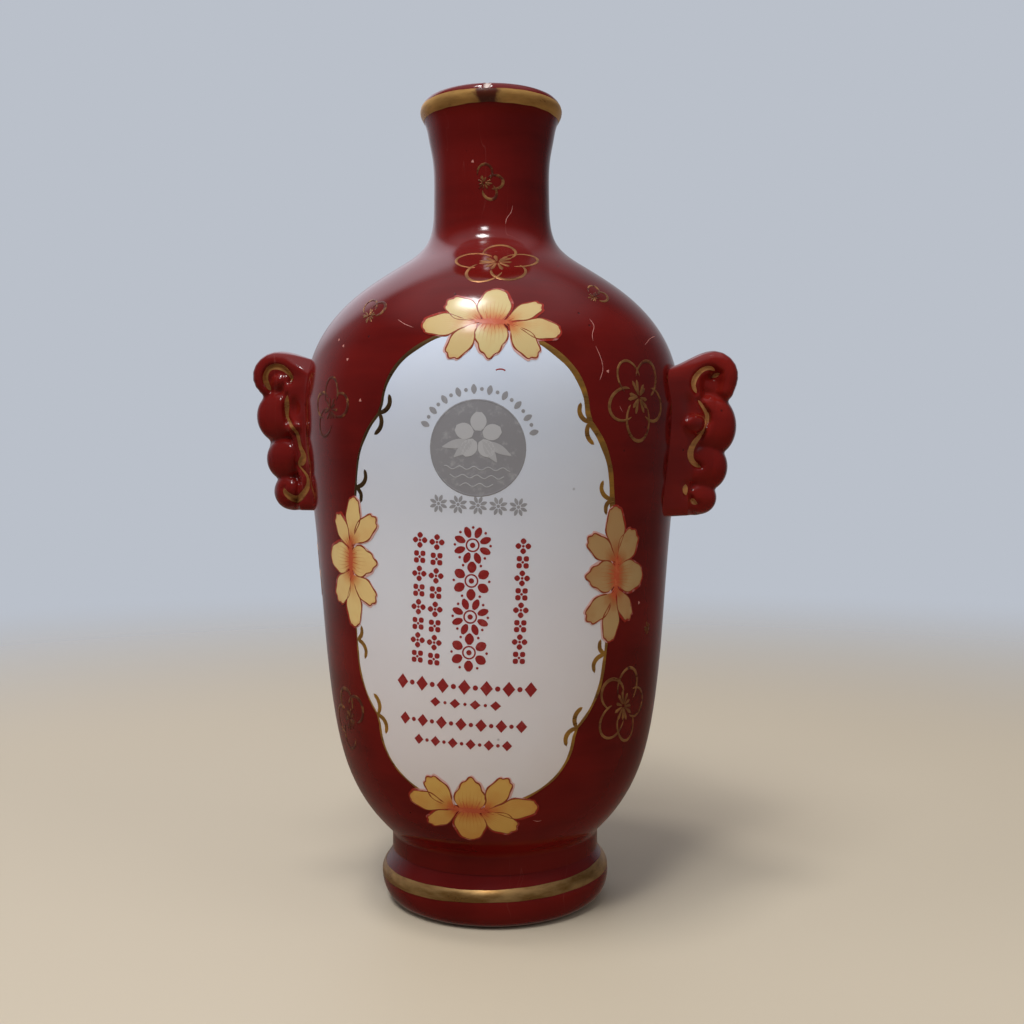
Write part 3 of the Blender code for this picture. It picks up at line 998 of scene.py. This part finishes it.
class Print:
    """Small printed ornaments on the panel, laid by (x, y) in millimetres from its centre."""

    def __init__(self, wall, lift=PRINT_LIFT):
        self.wall = wall
        self.film = Film(wall.at)
        self.lift = lift

    def lay(self, x, y, lift=None, tone=0.0):
        u, height = on_panel(x * MM, y * MM)
        self.film.add(u, self.wall.up(height), self.lift if lift is None else lift, (0, 0, tone))

    def disc(self, x, y, radius, tone=0.0, count=6, lift=None):
        angle, share = disc_grid(count)
        self.lay(x + radius * share * np.cos(angle), y + radius * share * np.sin(angle), lift, tone)

    def leaf(self, x, y, length, width, turn, tone=0.0, blunt=0.6, lift=None):
        """A leaf from (x, y) outward. blunt below 1 rounds its tips, above 1 sharpens them."""
        along, across = np.meshgrid(np.linspace(0, 1, 9), np.linspace(-1, 1, 5), indexing="ij")
        half = width / 2 * np.clip(np.sin(np.clip(along, 0.03, 0.97) * math.pi), 0.02, 1) ** blunt
        a, b = along * length, across * half
        c, s = math.cos(math.radians(turn)), math.sin(math.radians(turn))
        self.lay(x + a * c - b * s, y + a * s + b * c, lift, tone)

    def lozenge(self, x, y, width, height, tone=0.0):
        a, b = np.meshgrid(np.linspace(-1, 1, 5), np.linspace(-1, 1, 5), indexing="ij")
        self.lay(x + (a - b) / 2 * width / 2, y + (a + b) / 2 * height / 2, None, tone)

    def line(self, points, width, tone=0.0, ring=False, lift=None):
        points = np.asarray(points, float)
        u, height = on_panel(points[:, 0] * MM, points[:, 1] * MM)
        path = np.stack([u, self.wall.up(height)], axis=1)
        self.film.ribbon(path, width * MM, self.lift if lift is None else lift, (0, 0, tone), ring)

    def circle(self, x, y, radius, width, tone=0.0, lift=None):
        angle = np.arange(48) / 48 * TURN
        self.line(np.stack([x + radius * np.cos(angle), y + radius * np.sin(angle)], 1), width, tone, ring=True, lift=lift)

    def floret(self, x, y, size, petals, turn=0.0, tone=0.0):
        """A small flower of leaves round a dot."""
        for k in range(petals):
            angle = turn + 360 * k / petals
            c, s = math.cos(math.radians(angle)), math.sin(math.radians(angle))
            self.leaf(x + 0.13 * size * c, y + 0.13 * size * s, 0.37 * size, 1.5 * size / petals, angle, tone)
        self.disc(x, y, 0.09 * size, tone, count=4)

    def rosette(self, x, y, size, petals, turn=0.0):
        """A large flower: ringed centre, petals, and a dot between each pair."""
        self.circle(x, y, 0.16 * size, 0.05 * size)
        self.disc(x, y, 0.07 * size)
        for k in range(petals):
            angle = turn + 360 * k / petals
            c, s = math.cos(math.radians(angle)), math.sin(math.radians(angle))
            self.leaf(x + 0.21 * size * c, y + 0.21 * size * s, 0.29 * size, 1.45 * size / petals, angle, blunt=0.5)
            c, s = math.cos(math.radians(angle + 180 / petals)), math.sin(math.radians(angle + 180 / petals))
            self.disc(x + 0.46 * size * c, y + 0.46 * size * s, 0.035 * size, count=4)


ROUNDEL = (-0.7, 21.4, 8.1)


def make_roundel(wall):
    """A plain grey disc with one open blossom, leaves and ripples: a stock motif in place of the maker's picture."""
    x, y, radius = ROUNDEL
    ground = Print(wall)
    ground.disc(x, y, radius, tone=0.0, count=40)
    motif = Print(wall, PRINT_LIFT * 1.6)
    motif.circle(x, y, radius - 0.1, 0.35, tone=0.0)
    for k in range(5):
        angle = 90 + 72 * k
        c, s = math.cos(math.radians(angle)), math.sin(math.radians(angle))
        motif.leaf(x + 0.9 * c, y + 2.0 + 0.9 * s, 3.1, 2.7, angle, tone=1.0, blunt=0.45)
    for turn, length in ((200, 5.0), (228, 4.2), (312, 4.2), (340, 5.0)):
        motif.leaf(x + 1.2 * math.cos(math.radians(turn)), y + 1.2, length, 1.5, turn - 6, tone=0.75, blunt=0.9)
    for row, half in ((-3.4, 5.6), (-4.8, 4.6), (-6.2, 2.8)):
        across = np.linspace(-half, half, 40)
        wave = row + 0.28 * np.sin(across * 2.6 + row)
        motif.line(np.stack([x + across, y + wave], 1), 0.22, tone=0.55)
    return ground.film.build("grey_roundel"), motif.film.build("grey_roundel_motif")


def make_grey_florets(wall):
    """An arc of small lozenges above the roundel and a row of florets below it."""
    x, y, radius = ROUNDEL
    work = Print(wall)
    for k, angle in enumerate(np.linspace(158, 18, 19)):
        c, s = math.cos(math.radians(angle)), math.sin(math.radians(angle))
        reach = radius + 1.75
        if k % 2:
            work.disc(x + reach * c, y + reach * s, 0.32, tone=0.15)
        else:
            work.leaf(x + (reach - 0.8) * c, y + (reach - 0.8) * s, 1.6, 0.95, angle, tone=0.15)
    for k in range(5):
        work.floret(x + 0.4 + (k - 2) * 3.4, y - 9.6, 3.2, 8, turn=22.5, tone=0.15)
    return work.film.build("grey_florets")


RED_COLUMN = (-1.0, (5.0, -1.1, -7.3, -13.5), 6.6)
SIDE_COLUMNS = [(-10.3, 5.4, 8, 2.9), (-7.2, 5.2, 8, 2.9), (7.6, 5.2, 8, 2.75)]
RED_ROWS = [(-1.6, -19.6, 23.0, 2.7, 13), (-1.4, -22.6, 10.6, 1.7, 7), (-2.0, -26.2, 21.0, 2.3, 13), (-1.8, -29.7, 15.8, 1.9, 11)]


def make_red_print(wall):
    """Rosettes, columns of florets and rows of lozenges: stock borders that stand where the label's words were."""
    large, small, rows = Print(wall), Print(wall), Print(wall)
    x, heights, size = RED_COLUMN
    for k, y in enumerate(heights):
        large.rosette(x, y, size, (8, 6)[k % 2], turn=(22.5, 30)[k % 2])
    for x, start, count, pitch in SIDE_COLUMNS:
        for k in range(count):
            small.floret(x, start - k * pitch, 2.7, 4, turn=45 * (k % 2))
    for x, y, width, tall, count in RED_ROWS:
        for k in range(count):
            across = x + width * (k / (count - 1) - 0.5)
            if k % 2:
                rows.disc(across, y, 0.17 * tall)
            else:
                rows.lozenge(across, y, width / count * 1.25, tall)
    across = np.linspace(-0.8, 0.8, 12)
    rows.line(np.stack([2.6 + across, 34.7 - 0.35 * across**2], 1), 0.28)
    return large.film.build("red_rosettes"), small.film.build("red_floret_columns"), rows.film.build("red_lozenge_rows")


# ---------------------------------------------------------------- gilding on the enamel

# Gold blossoms: (distance round, height, size), turn, how many petals are left, how worn, and a seed.
BLOSSOMS = [
    ((2.8, 121.2, 7.4), 20, 5, 0.0, 3),
    ((-0.4, 137.7, 3.4), -62, 3, 0.25, 5),
    ((22.0, 114.7, 3.6), 10, 2, 0.3, 7),
    ((31.6, 96.8, 7.2), 50, 5, 0.1, 9),
    ((-21.0, 111.4, 4.2), 35, 2, 0.3, 13),
    ((28.8, 41.4, 6.8), 0, 5, 0.1, 15),
    ((-30.0, 95.0, 5.4), 15, 4, 0.45, 19),
    ((-29.0, 38.3, 6.0), 40, 4, 0.4, 21),
    ((36.5, 55.0, 3.0), 0, 0, 0.2, 25),
    ((62.0, 78.0, 6.8), 12, 5, 0.1, 27),
    ((88.0, 96.0, 6.6), 44, 5, 0.1, 29),
    ((112.0, 74.0, 7.0), 5, 5, 0.1, 31),
    ((136.0, 100.0, 6.2), 30, 5, 0.2, 33),
    ((100.0, 45.0, 6.6), 55, 5, 0.1, 35),
    ((70.0, 40.0, 5.6), 20, 5, 0.2, 37),
    ((130.0, 45.0, 6.0), 65, 5, 0.1, 39),
    ((164.0, 66.0, 6.6), 25, 5, 0.2, 41),
    ((62.0, 113.0, 4.6), 0, 4, 0.2, 43),
    ((30.0, 133.0, 3.4), 20, 4, 0.2, 45),
]


def add_blossom(film, wall, at, turn, petals, worn, seed):
    """A plum blossom in gold line: open petals round a burst of stamens, each arc a stroke of its own."""
    draw = np.random.default_rng(seed)
    u0, height, size = at
    middle = np.array([u0 * MM, wall.up(height * MM)])
    for k in range(petals):
        aim = math.radians(turn + 72 * k + draw.uniform(-6, 6))
        ahead, side = np.array([math.cos(aim), math.sin(aim)]), np.array([-math.sin(aim), math.cos(aim)])
        angle = np.radians(np.linspace(-draw.uniform(110, 135), draw.uniform(95, 130), 34))[:, None]
        long, wide = size * draw.uniform(0.42, 0.52), size * draw.uniform(0.36, 0.44)
        path = ahead * (0.56 * size + long * np.cos(angle)) + side * wide * np.sin(angle)
        width = 0.26 + 0.34 * np.sin(np.linspace(0.1, 1, 34) * math.pi) * draw.uniform(0.6, 1.2)
        film.ribbon(path * MM + middle, width * MM, GOLD_LIFT, mark=(worn + draw.uniform(0, 0.3), 0, 0), taper=0.7 * MM)
    for k in range(11):
        aim = TURN * k / 11 + draw.uniform(-0.2, 0.2)
        ray = np.array([math.cos(aim), math.sin(aim)])
        path = ray * np.linspace(0.05, draw.uniform(0.30, 0.46), 6)[:, None] * size
        width = np.linspace(0.25, 0.78, 6) * size / 7
        film.ribbon(path * MM + middle, width * MM, GOLD_LIFT, mark=(worn + 0.1, 0, 0), taper=0.3 * MM)


def make_blossoms(wall):
    film = Film(wall.at)
    for item in BLOSSOMS:
        add_blossom(film, wall, *item)
    return film.build("gold_blossoms")


# Pale hairlines worn into the enamel: (distance round, height) points of each.
SCRATCHES = [
    [(20.5, 110.2), (21.4, 108.8), (21.0, 107.5), (21.1, 106.2)],
    [(21.6, 105.3), (22.6, 103.3), (23.0, 101.2), (22.3, 99.4)],
    [(34.5, 106.4), (36.6, 107.7), (39.3, 108.5)],
    [(26.7, 95.1), (27.0, 94.6), (27.4, 94.1)],
    [(5.0, 133.6), (4.6, 132.2), (3.9, 131.2), (3.6, 130.0)],
    [(-14.2, 110.2), (-12.6, 109.2), (-10.9, 108.5)],
    [(9.2, 21.8), (10.0, 21.5), (10.7, 21.6)],
]
NICKS = [(-28.9, 107.6), (-27.0, 106.3), (-25.3, 103.7), (-21.6, 96.3), (24.1, 101.0), (-2.6, 141.8), (33.0, 60.0)]


def make_scratches(wall):
    film = Film(wall.at)
    for line in SCRATCHES:
        path = spline(line, 0.2)
        film.ribbon(np.stack([path[:, 0] * MM, wall.up(path[:, 1] * MM)], 1), 0.10 * MM, 0.02 * MM, taper=0.8 * MM)
    angle, share = disc_grid(4)
    for u, height in NICKS:
        reach = 0.24 * share * (1 + 0.3 * np.sin(angle * 3 + u)) * MM
        film.add(u * MM + reach * np.cos(angle), wall.up(height * MM) + reach * np.sin(angle), 0.02 * MM)
    return film.build("enamel_scratches")


def make_band(name, wall, low, high, wear_at, skew=0.0, ragged=0.12):
    """A band of gold round a turned piece, between two heights, with a hand-drawn edge."""
    angle = np.arange(SEGMENTS) / SEGMENTS * TURN
    wobble = ragged * MM * (np.sin(angle * 3 + 1) + 0.6 * np.sin(angle * 7 + 2) + 0.4 * np.sin(angle * 19))
    lean = skew * MM * np.sin(angle)
    share = np.linspace(0, 1, 9)
    v = wall.up(low * MM + lean + wobble * 0.5)[:, None] * (1 - share) + wall.up(high * MM + lean - wobble * 0.4)[:, None] * share
    radius = np.interp(v, wall.run, wall.profile[:, 0])
    wear = np.zeros_like(angle)
    for centre, half, amount in wear_at:
        away = (np.degrees(angle) - centre + 180) % 360 - 180
        wear += amount * np.clip(1.4 - abs(away) / half, 0, 1)
    mark = np.stack([wear, wear * 0.3, 0 * wear], axis=-1)[:, None, :]
    film = Film(wall.at)
    film.add(angle[:, None] * radius, v, GOLD_LIFT * (0.6 + 1.0 * np.sin(share * math.pi)), mark, ring=True)
    return film.build(name)


# ---------------------------------------------------------------- stage


def make_camera():
    data = bpy.data.cameras.new("camera")
    data.lens = LENS
    data.sensor_width = 36
    data.clip_start, data.clip_end = 0.005, 20
    camera = bpy.data.objects.new("camera", data)
    ahead = Vector(
        (
            -math.sin(CAMERA_SWING) * math.cos(CAMERA_DIP),
            math.cos(CAMERA_SWING) * math.cos(CAMERA_DIP),
            -math.sin(CAMERA_DIP),
        )
    )
    camera.location = CAMERA_AT
    camera.rotation_mode = "QUATERNION"
    camera.rotation_quaternion = ahead.to_track_quat("-Z", "Y") @ Quaternion((0, 0, 1), CAMERA_ROLL)
    bpy.context.scene.collection.objects.link(camera)
    bpy.context.scene.camera = camera


def make_light(name, swing, rise, distance, size, radiance, tint=(1, 1, 1), glossy=True):
    """A square area light aimed at the belly: degrees round from the front and up, and how bright its face is."""
    swing, rise = math.radians(swing), math.radians(rise)
    toward = Vector((math.sin(swing) * math.cos(rise), -math.cos(swing) * math.cos(rise), math.sin(rise)))
    data = bpy.data.lights.new(name, "AREA")
    data.size = size
    data.energy = radiance * math.pi * size**2
    data.color = tint
    light = bpy.data.objects.new(name, data)
    light.location = Vector(BELLY) + toward * distance
    light.rotation_euler = (-toward).to_track_quat("-Z", "Y").to_euler()
    light.visible_glossy = glossy
    light.visible_camera = False
    bpy.context.scene.collection.objects.link(light)


def make_world():
    """Pale to the camera. In reflections the room is dim in front and below, and pale behind, left and overhead."""
    world = bpy.data.worlds.new("studio_world")
    world.use_nodes = True
    tree = world.node_tree

    def node(kind, **sockets):
        made = tree.nodes.new(kind)
        for name, value in sockets.items():
            socket = made.inputs[name.replace("_", " ")] if not name.startswith("s") else made.inputs[int(name[1:])]
            if isinstance(value, bpy.types.NodeSocket):
                tree.links.new(value, socket)
            else:
                socket.default_value = value
        return made

    def ramp(value, low, high):
        made = node("ShaderNodeMapRange", Value=value, From_Min=low, From_Max=high)
        made.interpolation_type = "SMOOTHSTEP"
        return made.outputs["Result"]

    def combine(kind, first, second):
        made = node("ShaderNodeMath", s0=first, s1=second)
        made.operation = kind
        return made.outputs["Value"]

    def facing(direction):
        made = node("ShaderNodeVectorMath", s0=place, s1=direction)
        made.operation = "DOT_PRODUCT"
        return made.outputs["Value"]

    def blend(share, first, second):
        made = node("ShaderNodeMix", s0=share, s6=first, s7=second)
        made.data_type = "RGBA"
        return made.outputs[2]

    place = node("ShaderNodeTexCoord").outputs["Generated"]
    height = node("ShaderNodeSeparateXYZ", Vector=place).outputs["Z"]
    above = ramp(height, -0.3, 0.05)
    dim = blend(above, colour(*DIM_TABLE), colour(*DIM_ROOM))
    lit = blend(above, colour(*LIT_TABLE), colour(*LIT_WALL))
    glow = combine("MAXIMUM", ramp(facing(BRIGHT_SIDE), 0.3, 1.0), combine("MULTIPLY", ramp(height, 0.68, 1.0), CEILING_GLOW))
    room = blend(glow, dim, lit)
    room = blend(ramp(facing(WINDOW_AT), 0.90, 0.97), room, colour(*WINDOW))
    shown = blend(node("ShaderNodeLightPath").outputs["Is Camera Ray"], room, colour(*PALE_WALL))
    tree.links.new(shown, tree.nodes["Background"].inputs["Color"])
    bpy.context.scene.world = world


def make_stage():
    """A pale floor under a soft key, with two small lamps that draw the highlights and a soft glow behind."""
    angle = np.arange(96) / 96 * TURN
    rim = np.stack([np.cos(angle) * FLOOR_RADIUS, np.sin(angle) * FLOOR_RADIUS, 0 * angle], axis=1)
    floor = mesh_object("studio_floor", rim, [tuple(range(96))])
    floor.visible_glossy = False
    paint = Paint("studio_floor_paint", roughness=0.6)
    away = paint.tree.nodes.new("ShaderNodeVectorMath")
    away.operation = "LENGTH"
    paint.put(away, 0, paint.place())
    paint.feed(
        Base_Color=paint.mix(paint.noise(3), colour(190, 176, 154), colour(197, 183, 161)),
        Alpha=paint.range(away.outputs["Value"], 0.16, FLOOR_RADIUS, 1.0, 0.0),
    )
    floor.data.materials.append(paint.material)
    make_light("key", -22, 60, 1.2, 0.5, 11.6, (0.93, 0.97, 1), glossy=False)
    make_light("left_fill", -80, 22, 1.2, 0.6, 1.8, (1, 0.96, 0.97), glossy=False)
    make_light("right_fill", 62, 35, 1.2, 0.6, 1.7, glossy=False)
    make_light("front_fill", 0, 35, 1.2, 0.6, 0.7, glossy=False)
    make_light("front_lamp", -13, 57, 1.0, 0.13, 26)
    make_light("ceiling_lamp", -44, 79, 1.0, 0.15, 34)
    make_world()
    bpy.context.scene.view_settings.view_transform = "Standard"


# ---------------------------------------------------------------- assembly

for leftover in list(bpy.data.objects):
    bpy.data.objects.remove(leftover)
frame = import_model()

body_section = section_of("body")
foot_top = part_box("foot_ring")[1].z
crown = int(np.argmax(body_section[:, 1] + 0.01 * body_section[:, 0]))
joint = int(np.argmax(np.where(body_section[:, 1] < foot_top + 0.6 * MM, body_section[:, 0], 0)))
first, last = sorted((joint, crown))
outer = body_section[first : last + 1]
if crown < joint:
    outer = outer[::-1]
body_wall = Wall(spline(outer, WALL_STEP))
foot_section = section_of("foot_ring")
foot_outer = foot_section[foot_section[:, 0] > 19 * MM]
foot_wall = Wall(spline(foot_outer[np.argsort(foot_outer[:, 1])], WALL_STEP / 2))

body = dress(make_body(body_wall, body_section, joint, crown), enamel("body_enamel"))
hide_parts("body")
foot = dress(make_foot(), enamel("foot_enamel"))
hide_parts("foot_ring")
dress(make_foot_seam(body_wall), foot.data.materials[0])
for side, label in ((-1, "left"), (1, "right")):
    lug = dress(make_lug(label + "_lug_glaze", side), enamel(label + "_lug_enamel", *LUG_ENAMEL[side], gloss=(0.06, 0.11), lumps=0.35))
    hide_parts(label + "_lug")
    dress(make_lug_gold(label + "_lug_gold", side), gilding(label + "_lug_gilding", *LUG_GILT[side], wear=0.42, metal=0.4))

outline = panel_outline()
dress(make_panel(body_wall, outline), white_glaze())
dress(make_border(body_wall, outline), gilding("border_gilding", lit=(206, 150, 66), wear=0.42))
line_material = print_paint("petal_outline_ink", (138, 62, 38), (164, 84, 50), roughness=0.25)
throat_material = print_paint("petal_throat_ink", (186, 84, 52), (208, 124, 78), roughness=0.25, break_up=0.2)
blush_material = print_paint("petal_blush_ink", (150, 40, 28), (206, 164, 158), roughness=0.2)
for label, (centre, turn, seed) in FLOWERS.items():
    parts = make_flower(label + "_flower", body_wall, outline, centre, turn, seed)
    petal_material = petal_paint(label + "_petal_enamel", *PETAL_TONES[label])
    for piece, material in zip(parts, (petal_material, line_material, throat_material, blush_material)):
        dress(piece, material)
grey_material = print_paint("grey_ink", (142, 141, 146), (186, 186, 190), roughness=0.3)
for piece in (*make_roundel(body_wall), make_grey_florets(body_wall)):
    dress(piece, grey_material)
red_material = print_paint("red_ink", (142, 34, 34), (170, 84, 80), roughness=0.3)
for piece in make_red_print(body_wall):
    dress(piece, red_material)
dress(make_blossoms(body_wall), gilding("blossom_gilding", lit=(190, 136, 84), dull=(138, 90, 54), wear=0.44))
dress(make_band("lip_band", body_wall, 152.0, 154.5, [(2, 12, 1.2), (-34, 12, 0.6)]), gilding("lip_gilding", lit=(222, 172, 100), dull=(186, 136, 76), wear=0.36, metal=0.5, fade=0.34))
dress(make_band("foot_band", foot_wall, 5.6, 7.7, [(-70, 22, 0.3)], skew=0.5), gilding("foot_gilding", lit=(216, 172, 112), wear=0.36, metal=0.8))

scratch_material = print_paint("scratch_clay", (196, 132, 122), (160, 92, 84), roughness=0.5)
dress(make_scratches(body_wall), scratch_material)

make_camera()
make_stage()
